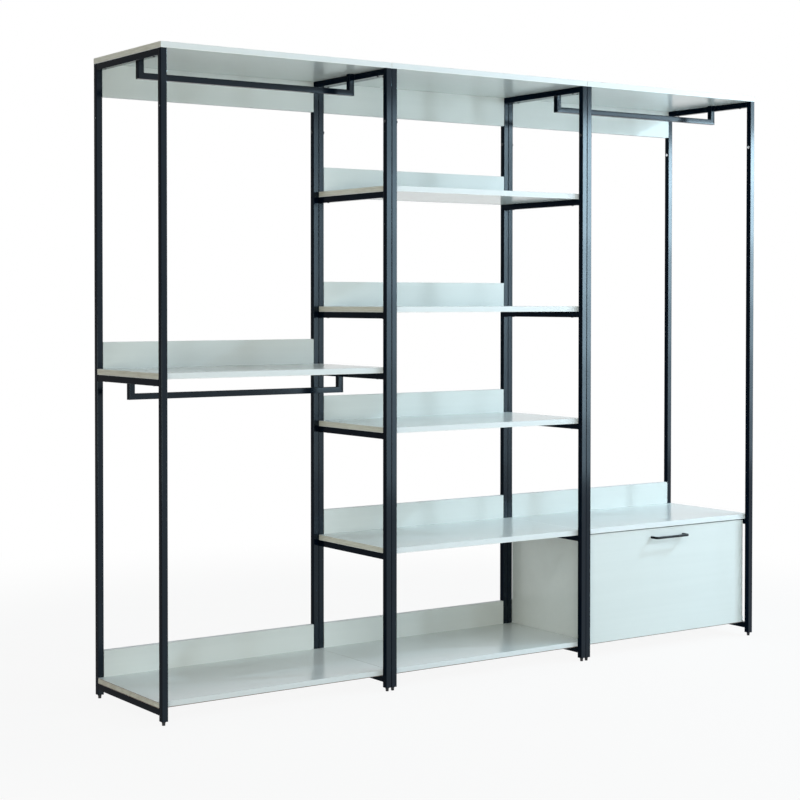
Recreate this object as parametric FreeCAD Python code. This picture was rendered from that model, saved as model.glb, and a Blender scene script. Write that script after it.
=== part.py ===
import FreeCAD, Part
import math
import os

from FreeCAD import Vector

# Freestanding closet system: three open bays of square steel tube with white boards,
# three hanging rods and one wide drawer on ball-bearing runners.
# Millimetres. X runs to the right, the front faces -Y and Z is up.
# The origin is on the floor, at the centre of the whole outline seen from above.

# Overall sizes
overall_width = 2438.4
overall_height = 1973.6
frame_depth = 439.4
bay_count = 3
bay_gap = 0.8

# Steel tube of the side frames
post_size = 20.0
rail_height = 20.0
tube_wall = 1.2
tube_corner = 1.8
bottom_rail_lift = 16.0

# White boards
board_thickness = 18.0
board_bevel = 0.5
upstand_height = 100.0
middle_bay_spaces = 5

# Hanging rods, bent down from the side rails
rod_size = 19.0
rod_corner = 1.8
rod_wall = 1.2
rod_hang = 70.0
rod_offset = 31.5

# Feet: a moulded glide pushed into a plug in each post
foot_height = 12.0
foot_top_radius = 6.0
foot_bottom_radius = 5.0
foot_rim = 2.0
foot_stem_radius = 2.9
foot_stem_length = 11.0
plug_depth = 15.0
plug_play = 0.1

# Bolts that join neighbouring frames through sleeves in the posts
joining_hole_radius = 3.3
joining_hole_drop = 183.6
joining_sleeve_width = 10.0
bolt_radius = 3.0
bolt_head_radius = 5.25
bolt_shoulder_radius = 3.6
bolt_head_height = 3.3
bolt_end = 1.5
bolt_socket_width = 4.0
bolt_socket_depth = 2.0
nut_width = 10.0
nut_height = 5.0
thread_play = 0.05

# Drawer front and handle
front_setback = 6.0
front_side_gap = 4.0
front_top_gap = 4.0
front_back_gap = 2.0
handle_length = 160.0
handle_reach = 32.0
handle_bar = 8.0
handle_bend = 3.0
handle_drop = 34.0

# Drawer box
box_board = 12.0
box_height = 220.0
box_rear_gap = 25.4
box_floor_gap = 16.0
box_bottom_board = 6.0
box_bottom_rise = 12.0
groove_depth = 6.0
groove_play = 0.1

# Ball-bearing runners: three nested steel members with two ball cages between them
runner_thickness = 12.7
runner_height = 45.0
runner_steel = 1.2
runner_rise = 90.0
ball_radius = 1.8
ball_play = 0.25
runner_web_gap = 1.6
runner_shoulder = 1.2
cage_steel = 0.6
cage_margin = 1.0
cage_play = 0.5
balls_per_row = 3

# Angles of the ball tracks, in degrees
outer_track_turn = 155.0
middle_lip_turn = 53.0
inner_track_start = 20.0
inner_track_turn = 75.0

# One overrun for every cut
overrun = 2.0

# Small round pieces that repeat are drawn with few sides, apart from the open joining holes
few_sides = 12
ball_sides = 8
ball_ring_angles = (-67.5, -22.5, 22.5, 67.5)

# Places worked out from the sizes above
half_width = overall_width / 2
unit_width = (overall_width - (bay_count - 1) * bay_gap) / bay_count
front_plane_depth = post_size + front_setback
handle_overhang = max(handle_reach - front_plane_depth, 0)
frame_front = (handle_overhang - frame_depth) / 2
frame_back = frame_front + frame_depth
shelf_front = frame_front + post_size
shelf_back = frame_back - post_size
frame_middle = (frame_front + frame_back) / 2

post_top = overall_height - board_thickness
lowest_level = foot_height + bottom_rail_lift + rail_height
shelf_pitch = (post_top - lowest_level) / middle_bay_spaces
half_level = (lowest_level + post_top) / 2
joining_hole_height = overall_height - joining_hole_drop
drawer_level = lowest_level + shelf_pitch
middle_levels = [lowest_level + number * shelf_pitch for number in range(middle_bay_spaces)]

bay_names = ["left_bay", "middle_bay", "right_bay"]
bay_levels = [[lowest_level, half_level], middle_levels, [lowest_level, drawer_level]]


def bay_left(bay):
    """X of a bay's left side."""
    return bay * (unit_width + bay_gap) - half_width


def bay_right(bay):
    """X of a bay's right side."""
    return bay_left(bay) + unit_width


def block(x_span, y_span, z_span):
    """A plain block between two X, two Y and two Z values."""
    corner = Vector(x_span[0], y_span[0], z_span[0])
    return Part.makeBox(x_span[1] - x_span[0], y_span[1] - y_span[0], z_span[1] - z_span[0], corner)


def board(x_span, y_span, z_span):
    """A board with its edges eased."""
    slab = block(x_span, y_span, z_span)
    return slab.makeChamfer(board_bevel, slab.Edges)


def polar(radius, degrees, height=0):
    """A point by its distance and direction from the Z axis, and its height."""
    angle = math.radians(degrees)
    return Vector(radius * math.cos(angle), radius * math.sin(angle), height)


def ring(radius, height=0, sides=few_sides):
    """Closed regular polygon about Z, with its corners on the radius."""
    return Part.makePolygon([polar(radius, 360 * number / sides, height) for number in range(sides + 1)])


def rounded_square(size, corner):
    """Closed outline of a square tube, centred on the origin, with each corner in two flats."""
    inset = size / 2 - corner
    points = []
    for quarter in range(4):
        turn = FreeCAD.Rotation(Vector(0, 0, 1), 90 * quarter)
        for degrees in (0, 45, 90):
            points.append(turn.multVec(Vector(inset, inset, 0) + polar(corner, degrees)))
    return Part.makePolygon(points + [points[0]])


def square_tube(size, corner, wall, length):
    """Square tube standing on the XY plane, centred on Z."""
    outside = Part.Face(rounded_square(size, corner)).extrude(Vector(0, 0, length))
    half_bore = size / 2 - wall
    bore = block((-half_bore, half_bore), (-half_bore, half_bore), (-overrun, length + overrun))
    return outside.cut(bore)


def tube_up(x, y, z_span, size, corner, wall):
    """Vertical tube whose axis is at x, y."""
    tube = square_tube(size, corner, wall, z_span[1] - z_span[0])
    tube.translate(Vector(x, y, z_span[0]))
    return tube


def tube_back(x, y_span, z, size, corner, wall):
    """Tube along Y whose axis is at x, z."""
    tube = square_tube(size, corner, wall, y_span[1] - y_span[0])
    tube.rotate(Vector(0, 0, 0), Vector(1, 0, 0), -90)
    tube.translate(Vector(x, y_span[0], z))
    return tube


def tube_across(x_span, y, z, size, corner, wall):
    """Tube along X whose axis is at y, z."""
    tube = square_tube(size, corner, wall, x_span[1] - x_span[0])
    tube.rotate(Vector(0, 0, 0), Vector(0, 1, 0), 90)
    tube.translate(Vector(x_span[0], y, z))
    return tube


def cylinder_across(x_span, y, z, radius):
    """Truly round bar or hole along X."""
    return Part.makeCylinder(radius, x_span[1] - x_span[0], Vector(x_span[0], y, z), Vector(1, 0, 0))


def bar_across(x_span, y, z, radius, sides=few_sides):
    """Bar or hole along X with few sides."""
    bar = Part.Face(ring(radius, sides=sides)).extrude(Vector(0, 0, x_span[1] - x_span[0]))
    bar.rotate(Vector(0, 0, 0), Vector(0, 1, 0), 90)
    bar.translate(Vector(x_span[0], y, z))
    return bar


def hexagon_across(x_span, y, z, width):
    """Hexagonal bar or socket along X, by its width across the flats."""
    return bar_across(x_span, y, z, width / 2 / math.cos(math.radians(30)), 6)


def write_node(name, solids):
    """Write one sub-part, which may be a group of separate solids."""
    shape = solids[0] if len(solids) == 1 else Part.makeCompound(solids)
    shape.exportStep("parts/" + name + ".step")


# Side frames

frame_lefts = []
for bay in range(bay_count):
    frame_lefts += [bay_left(bay), bay_right(bay) - post_size]


def is_outer(frame_left):
    """Whether a side frame is the first or the last one."""
    return frame_left in (frame_lefts[0], frame_lefts[-1])


def post_axes(frame_left):
    """The front and rear post axes of the side frame that starts at frame_left."""
    x = frame_left + post_size / 2
    return [(x, frame_front + post_size / 2), (x, frame_back - post_size / 2)]


def joining_bore(frame_left, y):
    """Space of a joining hole: truly round where it stays open, in the outer frames."""
    span = (frame_left - overrun, frame_left + post_size + overrun)
    make_bar = cylinder_across if is_outer(frame_left) else bar_across
    return make_bar(span, y, joining_hole_height, joining_hole_radius)


def side_frame(frame_left, levels):
    """Welded ladder of two posts and the rails that carry the boards."""
    tubes = []
    for x, y in post_axes(frame_left):
        post = tube_up(x, y, (foot_height, post_top), post_size, tube_corner, tube_wall)
        tubes.append(post.cut(joining_bore(frame_left, y)))
    for level in levels + [post_top]:
        x = frame_left + post_size / 2
        z = level - rail_height / 2
        tubes.append(tube_back(x, (shelf_front, shelf_back), z, rail_height, tube_corner, tube_wall))
    return tubes


def make_frames():
    """Two side frames for each bay."""
    for number, frame_left in enumerate(frame_lefts):
        bay = number // 2
        side = "_right_frame" if number % 2 else "_left_frame"
        write_node(bay_names[bay] + side, side_frame(frame_left, bay_levels[bay]))


# Boards


def shelf(bay, level, front=shelf_front):
    """A board that lies on the rails at a level."""
    return board((bay_left(bay), bay_right(bay)), (front, shelf_back), (level, level + board_thickness))


def upstand(bay, bottom):
    """A narrow board between the rear posts, flush with their front faces."""
    x_span = (bay_left(bay) + post_size, bay_right(bay) - post_size)
    return board(x_span, (shelf_back, shelf_back + board_thickness), (bottom, bottom + upstand_height))


def make_boards():
    """Top boards, aprons, shelves and upstands of every bay."""
    for bay, name in enumerate(bay_names):
        top_span = (post_top, overall_height)
        top = board((bay_left(bay), bay_right(bay)), (frame_front, frame_back), top_span)
        write_node(name + "_top_board", [top])
        write_node(name + "_top_apron", [upstand(bay, post_top - upstand_height)])
        write_node(name + "_bottom_upstand", [upstand(bay, lowest_level)])
    write_node("left_bay_bottom_board", [shelf(0, lowest_level)])
    write_node("left_bay_half_shelf", [shelf(0, half_level)])
    write_node("left_bay_half_shelf_upstand", [upstand(0, half_level)])
    write_node("middle_bay_bottom_board", [shelf(1, lowest_level)])
    for number, level in enumerate(middle_levels[1:]):
        name = "middle_bay_shelf_" + str(number + 1)
        write_node(name, [shelf(1, level)])
        write_node(name + "_upstand", [upstand(1, level)])
    write_node("right_bay_bottom_board", [shelf(2, lowest_level, drawer_front_back + front_back_gap)])
    write_node("drawer_unit_top_board", [shelf(2, drawer_level)])
    write_node("drawer_unit_upstand", [upstand(2, drawer_level)])


# Hanging rods


def mitre_wedge(corners, y):
    """Prism that cuts a rod's tube along its mitre."""
    low_y = y - rod_size / 2 - overrun
    points = [Vector(x, low_y, z) for x, z in corners]
    outline = Part.makePolygon(points + [points[0]])
    return Part.Face(outline).extrude(Vector(0, rod_size + 2 * overrun, 0))


def hanging_rod(bay, level, y):
    """A bar with a drop at each end, mitred and fixed to the inner faces of the rails."""
    left = bay_left(bay) + post_size
    right = bay_right(bay) - post_size
    low = level - rod_hang
    high = low + rod_size
    bar = tube_across((left, right), y, low + rod_size / 2, rod_size, rod_corner, rod_wall)
    pieces = []
    for end, inward in ((left, 1), (right, -1)):
        outer = end - inward * overrun
        inner = end + inward * (rod_size + overrun)
        below = low - overrun
        above = high + overrun
        drop = tube_up(end + inward * rod_size / 2, y, (low, level), rod_size, rod_corner, rod_wall)
        pieces.append(drop.cut(mitre_wedge([(outer, below), (inner, above), (inner, below)], y)))
        bar = bar.cut(mitre_wedge([(outer, below), (inner, above), (outer, above)], y))
    return [bar] + pieces


def make_rods():
    """Two rods in the left bay, one in the right bay."""
    write_node("left_bay_upper_rod", hanging_rod(0, post_top, frame_middle - rod_offset))
    write_node("left_bay_lower_rod", hanging_rod(0, half_level, frame_middle + rod_offset))
    write_node("right_bay_rod", hanging_rod(2, post_top, frame_middle - rod_offset))


# Feet and joining bolts


def foot_glide(x, y):
    """Moulded glide: a tapered foot with a stem that goes up into the plug."""
    rings = [
        ring(foot_bottom_radius - foot_rim / 2),
        ring(foot_bottom_radius, foot_rim / 2),
        ring(foot_top_radius, foot_height),
    ]
    foot = Part.makeLoft(rings, True, True)
    stem = Part.Face(ring(foot_stem_radius, foot_height)).extrude(Vector(0, 0, foot_stem_length))
    glide = foot.fuse(stem).removeSplitter()
    glide.translate(Vector(x, y, 0))
    return glide


def post_plug(x, y):
    """Plug in the end of a post, with the hole that takes the glide's stem."""
    half = post_size / 2 - tube_wall - plug_play
    plug = block((-half, half), (-half, half), (foot_height, foot_height + plug_depth))
    hole = Part.Face(ring(foot_stem_radius + plug_play, foot_height - overrun))
    plug = plug.cut(hole.extrude(Vector(0, 0, plug_depth + 2 * overrun)))
    plug.translate(Vector(x, y, 0))
    return plug


def joining_sleeve(frame_left, y):
    """Hexagonal sleeve between a post's walls that a joining bolt goes through."""
    span = (frame_left + tube_wall, frame_left + post_size - tube_wall)
    sleeve = hexagon_across(span, y, joining_hole_height, joining_sleeve_width)
    return sleeve.cut(joining_bore(frame_left, y))


def joining_bolt(left, right, y):
    """Button-head bolt across two neighbouring posts, head on the left."""
    z = joining_hole_height
    head_rings = [ring(bolt_head_radius), ring(bolt_shoulder_radius, bolt_head_height)]
    head = Part.makeLoft(head_rings, True, True)
    head.rotate(Vector(0, 0, 0), Vector(0, 1, 0), -90)
    head.translate(Vector(left, y, z))
    shank = bar_across((left, right + nut_height + bolt_end), y, z, bolt_radius)
    head_face = left - bolt_head_height
    socket_span = (head_face - overrun, head_face + bolt_socket_depth)
    return head.fuse(shank).cut(hexagon_across(socket_span, y, z, bolt_socket_width)).removeSplitter()


def joining_nut(right, y):
    """Nut on the far end of a joining bolt."""
    z = joining_hole_height
    nut = hexagon_across((right, right + nut_height), y, z, nut_width)
    bore_span = (right - overrun, right + nut_height + overrun)
    return nut.cut(bar_across(bore_span, y, z, bolt_radius + thread_play))


def make_small_parts():
    """Feet, plugs, sleeves, bolts and nuts, each kind in one node."""
    glides = []
    plugs = []
    outer_sleeves = []
    inner_sleeves = []
    bolts = []
    nuts = []
    for frame_left in frame_lefts:
        sleeves = outer_sleeves if is_outer(frame_left) else inner_sleeves
        for x, y in post_axes(frame_left):
            glides.append(foot_glide(x, y))
            plugs.append(post_plug(x, y))
            sleeves.append(joining_sleeve(frame_left, y))
    for bay in range(bay_count - 1):
        left = bay_right(bay) - post_size
        right = bay_left(bay + 1) + post_size
        for x, y in post_axes(left):
            bolts.append(joining_bolt(left, right, y))
            nuts.append(joining_nut(right, y))
    write_node("foot_glides", glides)
    write_node("post_end_plugs", plugs)
    write_node("outer_joining_sleeves", outer_sleeves)
    write_node("inner_joining_sleeves", inner_sleeves)
    write_node("joining_bolts", bolts)
    write_node("joining_nuts", nuts)


# Drawer

unit_inner_left = bay_left(2) + post_size
unit_inner_right = bay_right(2) - post_size
drawer_front_plane = frame_front + front_plane_depth
drawer_front_back = drawer_front_plane + board_thickness
cavity_left = unit_inner_left + board_thickness
cavity_right = unit_inner_right - board_thickness
box_left = cavity_left + runner_thickness
box_right = cavity_right - runner_thickness
box_low = lowest_level + board_thickness + box_floor_gap
box_back = shelf_back - box_rear_gap
bottom_low = box_low + box_bottom_rise
handle_height = drawer_level - handle_drop


def bottom_groove():
    """Space that the drawer's bottom board fills, with its play."""
    x_span = (box_left + box_board - groove_depth, box_right - box_board + groove_depth)
    y_span = (drawer_front_back - groove_depth, box_back - box_board + groove_depth)
    z_span = (bottom_low - groove_play, bottom_low + box_bottom_board + groove_play)
    return block(x_span, y_span, z_span)


def drawer_front():
    """The visible front, set back between the posts."""
    x_span = (unit_inner_left + front_side_gap, unit_inner_right - front_side_gap)
    z_span = (lowest_level, drawer_level - front_top_gap)
    return board(x_span, (drawer_front_plane, drawer_front_back), z_span).cut(bottom_groove())


def drawer_bottom():
    """Thin bottom board in the grooves of the front, sides and back."""
    x_span = (box_left + box_board - groove_depth + groove_play, box_right - box_board + groove_depth - groove_play)
    y_low = drawer_front_back - groove_depth + groove_play
    y_high = box_back - box_board + groove_depth - groove_play
    return block(x_span, (y_low, y_high), (bottom_low, bottom_low + box_bottom_board))


def bent_strip(start, heading, moves, wall):
    """Flat strip of even width that runs and turns in the XY plane.

    Each move is (length, 0) for a straight run, or (radius, degrees) for a turn along the
    middle of the strip. Degrees are positive to the left.
    """
    point = Vector(start[0], start[1], 0)
    angle = math.radians(heading)
    left_edges = []
    right_edges = []

    def side(middle, direction, offset):
        return middle + Vector(-math.sin(direction) * offset, math.cos(direction) * offset, 0)

    half = wall / 2
    start_edge = Part.makeLine(side(point, angle, -half), side(point, angle, half))
    for size, degrees in moves:
        if degrees == 0:
            following = point + Vector(math.cos(angle) * size, math.sin(angle) * size, 0)
            left_edges.append(Part.makeLine(side(point, angle, half), side(following, angle, half)))
            right_edges.append(Part.makeLine(side(point, angle, -half), side(following, angle, -half)))
            point = following
            continue
        turn = math.radians(degrees)
        signed = math.copysign(size, degrees)
        centre = side(point, angle, signed)
        for edges, offset in ((left_edges, half), (right_edges, -half)):
            places = [side(centre, angle + turn * part, offset - signed) for part in (0, 0.5, 1)]
            edges.append(Part.Arc(*places).toShape())
        angle += turn
        point = side(centre, angle, -signed)
    end_edge = Part.makeLine(side(point, angle, half), side(point, angle, -half))
    outline = Part.sortEdges([start_edge, end_edge] + left_edges + right_edges)[0]
    return Part.Face(Part.Wire(outline))


def handle():
    """Bow handle bent from square bar, with its feet on the drawer front."""
    bend = handle_bend + handle_bar / 2
    leg = handle_reach - handle_bar / 2 - bend
    span = handle_length - handle_bar - 2 * bend
    middle = (unit_inner_left + unit_inner_right) / 2
    start = (middle - handle_length / 2 + handle_bar / 2, drawer_front_plane)
    moves = [(leg, 0), (bend, 90), (span, 0), (bend, 90), (leg, 0)]
    bar = bent_strip(start, -90, moves, handle_bar).extrude(Vector(0, 0, handle_bar))
    bar.translate(Vector(0, 0, handle_height - handle_bar / 2))
    return bar


def make_drawer():
    """Side panels of the unit, the drawer's five boards and its handle."""
    panel_height = (lowest_level + board_thickness, drawer_level)
    panel_depth = (drawer_front_back + front_back_gap, shelf_back)
    write_node("drawer_unit_left_panel", [board((unit_inner_left, cavity_left), panel_depth, panel_height)])
    write_node("drawer_unit_right_panel", [board((cavity_right, unit_inner_right), panel_depth, panel_height)])
    groove = bottom_groove()
    depth = (drawer_front_back, box_back)
    height = (box_low, box_low + box_height)
    left_side = block((box_left, box_left + box_board), depth, height).cut(groove)
    right_side = block((box_right - box_board, box_right), depth, height).cut(groove)
    back = block((box_left + box_board, box_right - box_board), (box_back - box_board, box_back), height)
    write_node("drawer_front", [drawer_front()])
    write_node("drawer_left_side", [left_side])
    write_node("drawer_right_side", [right_side])
    write_node("drawer_back", [back.cut(groove)])
    write_node("drawer_bottom", [drawer_bottom()])
    write_node("drawer_handle", [handle()])


# Runners. Their section is drawn with X from the cabinet's side towards the drawer and
# Y upwards, for the upper half, and is then mirrored below.

track_radius = ball_radius + ball_play + runner_steel / 2
outer_web = runner_steel / 2
middle_web = outer_web + runner_steel + runner_web_gap
inner_web = runner_thickness - runner_steel / 2
outer_ball_x = outer_web + track_radius
outer_ball_y = runner_height / 2 - track_radius - runner_steel / 2
inner_ball_x = middle_web + track_radius
ball_step_angle = math.acos((middle_web - outer_web) / (2 * track_radius))
inner_ball_y = outer_ball_y - 2 * track_radius * math.sin(ball_step_angle)
runner_front = drawer_front_back + front_back_gap
runner_length = box_back - drawer_front_back
runner_height_middle = box_low + runner_rise


def outer_section():
    """Cabinet member: a web whose ends curl round the outer balls."""
    moves = [(outer_ball_y, 0), (track_radius, -outer_track_turn)]
    return bent_strip((outer_web, 0), 90, moves, runner_steel)


def middle_section():
    """Middle member: it curls over the inner balls and then under the outer ones."""
    step = math.degrees(ball_step_angle)
    moves = [(inner_ball_y, 0), (track_radius, -step), (track_radius, middle_lip_turn)]
    return bent_strip((middle_web, 0), 90, moves, runner_steel)


def inner_section():
    """Drawer member: a web with shoulders that turn in under the inner balls."""
    start_angle = math.radians(inner_track_start)
    track_x = inner_ball_x + track_radius * math.cos(start_angle)
    track_y = inner_ball_y - track_radius * math.sin(start_angle)
    bend_x = track_x + runner_shoulder * math.cos(start_angle)
    bend_top = track_y + runner_shoulder * (1 - math.sin(start_angle))
    moves = [
        (bend_top - runner_shoulder, 0),
        (runner_shoulder, 90),
        (inner_web - runner_shoulder - bend_x, 0),
        (runner_shoulder, 90 - inner_track_start),
        (track_radius, -inner_track_turn),
    ]
    return bent_strip((inner_web, 0), 90, moves, runner_steel)


def place_runner_piece(shape, length, start):
    """Stand a section's extrusion along Y on both sides of the drawer."""
    shape.rotate(Vector(0, 0, 0), Vector(1, 0, 0), 90)
    shape.translate(Vector(0, start + length, runner_height_middle))
    mirrored = shape.mirror(Vector(0, 0, 0), Vector(1, 0, 0))
    shape.translate(Vector(cavity_left, 0, 0))
    mirrored.translate(Vector(cavity_right, 0, 0))
    return [shape, mirrored]


def runner_member(section):
    """The left and right copies of one member."""
    upper = section.extrude(Vector(0, 0, runner_length))
    lower = upper.mirror(Vector(0, 0, 0), Vector(0, 1, 0))
    return place_runner_piece(upper.fuse(lower).removeSplitter(), runner_length, runner_front)


cage_length = runner_length / 2
cage_start = runner_front + runner_length / 4


def ball_places(ball_x, ball_y):
    """Centres of a cage's balls, in the section's own axes."""
    places = []
    for side in (-1, 1):
        for number in range(balls_per_row):
            along = cage_length * (number + 0.5) / balls_per_row
            places.append(Vector(ball_x, side * ball_y, along))
    return places


def ball_cage(strip_x, ball_x, ball_y):
    """Perforated strip that keeps two rows of balls apart."""
    half = ball_y + cage_margin
    reach = ball_radius + ball_play / 2
    strip = block((strip_x, strip_x + cage_steel), (-half, half), (0, cage_length))
    for place in ball_places(ball_x, ball_y):
        across = (strip_x - overrun, strip_x + cage_steel + overrun)
        strip = strip.cut(block(across, (place.y - reach, place.y + reach), (place.z - reach, place.z + reach)))
    return place_runner_piece(strip, cage_length, cage_start)


def ball(centre):
    """A bearing ball in flats, with its corners on the true radius."""
    rings = []
    for degrees in ball_ring_angles:
        level = polar(ball_radius, degrees)
        rings.append(ring(level.x, level.y, ball_sides))
    solid = Part.makeLoft(rings, True, True)
    solid.translate(centre)
    return solid


def ball_rows(ball_x, ball_y):
    """All balls of one kind of cage, left and right."""
    balls = []
    for place in ball_places(ball_x, ball_y):
        balls += place_runner_piece(ball(place), cage_length, cage_start)
    return balls


def make_runners():
    """Members, cages and balls of both runners."""
    for name, section in (("cabinet", outer_section()), ("middle", middle_section()), ("drawer", inner_section())):
        for side, solid in zip(("left", "right"), runner_member(section)):
            write_node(side + "_runner_" + name + "_member", [solid])
    outer_strip = outer_web + runner_steel / 2 + cage_play
    inner_strip = middle_web + runner_steel / 2 + cage_play
    write_node("runner_outer_cages", ball_cage(outer_strip, outer_ball_x, outer_ball_y))
    write_node("runner_outer_balls", ball_rows(outer_ball_x, outer_ball_y))
    write_node("runner_inner_cages", ball_cage(inner_strip, inner_ball_x, inner_ball_y))
    write_node("runner_inner_balls", ball_rows(inner_ball_x, inner_ball_y))


os.makedirs("parts", exist_ok=True)
make_frames()
make_boards()
make_rods()
make_small_parts()
make_drawer()
make_runners()
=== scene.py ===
"""Looks of a freestanding closet system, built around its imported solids."""

import logging
import math
from collections.abc import Callable, Sequence
from dataclasses import dataclass, field
from enum import Enum
from functools import cache

import bpy
from mathutils import Matrix, Vector


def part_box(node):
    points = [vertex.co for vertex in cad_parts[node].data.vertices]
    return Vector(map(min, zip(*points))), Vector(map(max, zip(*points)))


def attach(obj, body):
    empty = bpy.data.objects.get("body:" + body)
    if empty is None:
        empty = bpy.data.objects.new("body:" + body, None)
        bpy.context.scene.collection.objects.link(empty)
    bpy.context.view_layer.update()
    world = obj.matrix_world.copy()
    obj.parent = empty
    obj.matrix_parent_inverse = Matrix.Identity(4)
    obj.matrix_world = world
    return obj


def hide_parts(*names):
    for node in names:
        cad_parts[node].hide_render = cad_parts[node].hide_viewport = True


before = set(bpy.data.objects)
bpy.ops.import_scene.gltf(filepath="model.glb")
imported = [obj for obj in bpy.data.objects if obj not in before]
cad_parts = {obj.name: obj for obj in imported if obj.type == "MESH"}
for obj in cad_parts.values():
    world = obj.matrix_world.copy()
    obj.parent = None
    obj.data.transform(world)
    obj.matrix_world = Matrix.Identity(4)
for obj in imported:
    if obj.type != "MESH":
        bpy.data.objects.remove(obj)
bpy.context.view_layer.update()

LOG = logging.getLogger("closet")
MM = 0.001
TINY = 0.000001
FULL_TURN = 360
QUARTER_TURN = 90
SIXTH_TURN = 60
OUTLINE_POINTS = 48
BALL_TOP = 84
BALL_STEP = 14
SHARP_ANGLE = 38
SPLIT_ANGLE = 50
FACE_WEIGHT = 100
STRIPE_FLAT = 0.4
PLACE_DIGITS = 6
MIX_SHARE, MIX_FIRST, MIX_SECOND, MIX_COLOUR = 0, 6, 7, 2
SIDES = ("left", "right")
BAYS = ("left", "middle", "right")
HALF_SHELF = "left_bay_half_shelf"
SHELVES = tuple(f"middle_bay_shelf_{number}" for number in range(1, 5))
UNIT_TOP = "drawer_unit_top_board"
Pair = tuple[float, float]
Triple = tuple[float, float, float]
Colour = Triple
Profile = tuple[Pair, ...]
Names = tuple[str, ...]
WHITE: Colour = (1.0, 1.0, 1.0)
BACKWARDS = Vector((0, 1, 0))
DOWNWARDS = Vector((0, 0, -1))


class Axis(Enum):
    """A direction of the model, by its place in a vector."""

    X = 0
    Y = 1
    Z = 2


class Body(Enum):
    """The bodies that the scene's own pieces move with."""

    CLOSET = "closet"
    DRAWER = "drawer"
    OUTER_CAGES = "outer_ball_cages"
    INNER_CAGES = "inner_ball_cages"


class Slot(Enum):
    """Names of the material slots."""

    WHITE_BOARD = "white_board"
    FRAME_PAINT = "frame_paint"
    ROD_PAINT = "rod_paint"
    BLACK_PLASTIC = "black_plastic"
    SLEEVE_ZINC = "sleeve_zinc"
    BLACK_SCREWS = "black_screws"
    HANDLE_PAINT = "handle_paint"
    DRAWER_BOX_BOARD = "drawer_box_board"
    RUNNER_STEEL = "runner_steel"
    BALL_STEEL = "ball_steel"


class Wire:
    """A node's output that Python's operators work on."""

    def __init__(self, graph: "Graph", socket: bpy.types.NodeSocket) -> None:
        """Keep the graph that new nodes are added to and the output that this wire comes from."""
        self.graph = graph
        self.socket = socket

    def __add__(self, other: "Wire | float") -> "Wire":
        """Return the sum."""
        return self.graph.maths("ADD", self, other)

    def __sub__(self, other: "Wire | float") -> "Wire":
        """Return the difference."""
        return self.graph.maths("SUBTRACT", self, other)

    def __rsub__(self, other: float) -> "Wire":
        """Return the difference from a number."""
        return self.graph.maths("SUBTRACT", other, self)

    def __mul__(self, other: "Wire | float") -> "Wire":
        """Return the product."""
        return self.graph.maths("MULTIPLY", self, other)

    def __abs__(self) -> "Wire":
        """Return the value without its sign."""
        return self.graph.maths("ABSOLUTE", self, 0.0)

    __radd__ = __add__
    __rmul__ = __mul__

    def part(self, axis: Axis) -> "Wire":
        """Return one part of a vector."""
        return self.graph.node("ShaderNodeSeparateXYZ", {}, {0: self}, axis.value)

    def rise(self, low: float, high: float) -> "Wire":
        """Return a soft step from 0 at the low value to 1 at the high one."""
        settings = {"interpolation_type": "SMOOTHSTEP", "clamp": True}
        return self.graph.node("ShaderNodeMapRange", settings, {0: self, 1: low, 2: high})

    def fade(self, low: float, high: float, strength: float) -> "Wire":
        """Return a strength up to the low value that falls softly to 0 at the high one."""
        return (1.0 - self.rise(low, high)) * strength

    def stripe(self, place: float, half: float, strength: float) -> "Wire":
        """Return a strength at a value that falls softly to 0 at a distance from it."""
        return abs(self - place).fade(half * STRIPE_FLAT, half, strength)


class Graph:
    """Node tree of one finish."""

    def __init__(self, tree: bpy.types.NodeTree) -> None:
        """Keep the tree and empty it."""
        self.tree = tree
        tree.nodes.clear()

    def node(
        self,
        kind: str,
        settings: dict[str, object],
        inputs: dict[int | str, object],
        output: int | str = 0,
    ) -> Wire:
        """Add a node of any type.

        Args:
            kind: The node's type.
            settings: Properties that are set first.
            inputs: Values or wires by the socket's number or name.
            output: The output that the wire comes from.

        Returns:
            The chosen output.
        """
        made = self.tree.nodes.new(kind)
        for name, value in settings.items():
            setattr(made, name, value)
        for key, value in inputs.items():
            if isinstance(value, Wire):
                self.tree.links.new(value.socket, made.inputs[key])
            else:
                made.inputs[key].default_value = value
        return Wire(self, made.outputs[output] if made.outputs else None)

    def maths(self, operation: str, first: Wire | float, second: Wire | float) -> Wire:
        """Return the result of one Math node."""
        return self.node("ShaderNodeMath", {"operation": operation}, {0: first, 1: second})

    def blend(self, share: Wire, first: Wire | Colour, second: Wire | Colour) -> Wire:
        """Mix two colours.

        Args:
            share: How much of the second colour shows, from 0 to 1.
            first: The colour at 0.
            second: The colour at 1.

        Returns:
            The mixed colour.
        """
        colours = [c if isinstance(c, Wire) else (*c, 1.0) for c in (first, second)]
        inputs = {MIX_SHARE: share, MIX_FIRST: colours[0], MIX_SECOND: colours[1]}
        return self.node("ShaderNodeMix", {"data_type": "RGBA"}, inputs, MIX_COLOUR)

    def places(self) -> Wire:
        """Return the place on the object, in metres."""
        return self.node("ShaderNodeTexCoord", {}, {}, "Object")

    def facing(self, axis: Axis) -> Wire:
        """Return how far a face looks along an axis, from 0 to 1."""
        return abs(self.node("ShaderNodeTexCoord", {}, {}, "Normal").part(axis))

    def share_across(self, axis: Axis) -> Wire:
        """Return the place across the object's box, from 0 to 1."""
        return self.node("ShaderNodeTexCoord", {}, {}, "Generated").part(axis)

    def stretched(self, scale: Triple) -> Wire:
        """Return the place with its parts multiplied."""
        inputs = {0: self.places(), 1: scale}
        return self.node("ShaderNodeVectorMath", {"operation": "MULTIPLY"}, inputs)

    def surface(self, sockets: dict[str, object]) -> None:
        """Close the graph with a principled surface of these sockets."""
        shader = self.node("ShaderNodeBsdfPrincipled", {}, sockets)
        self.node("ShaderNodeOutputMaterial", {}, {"Surface": shader})


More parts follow.
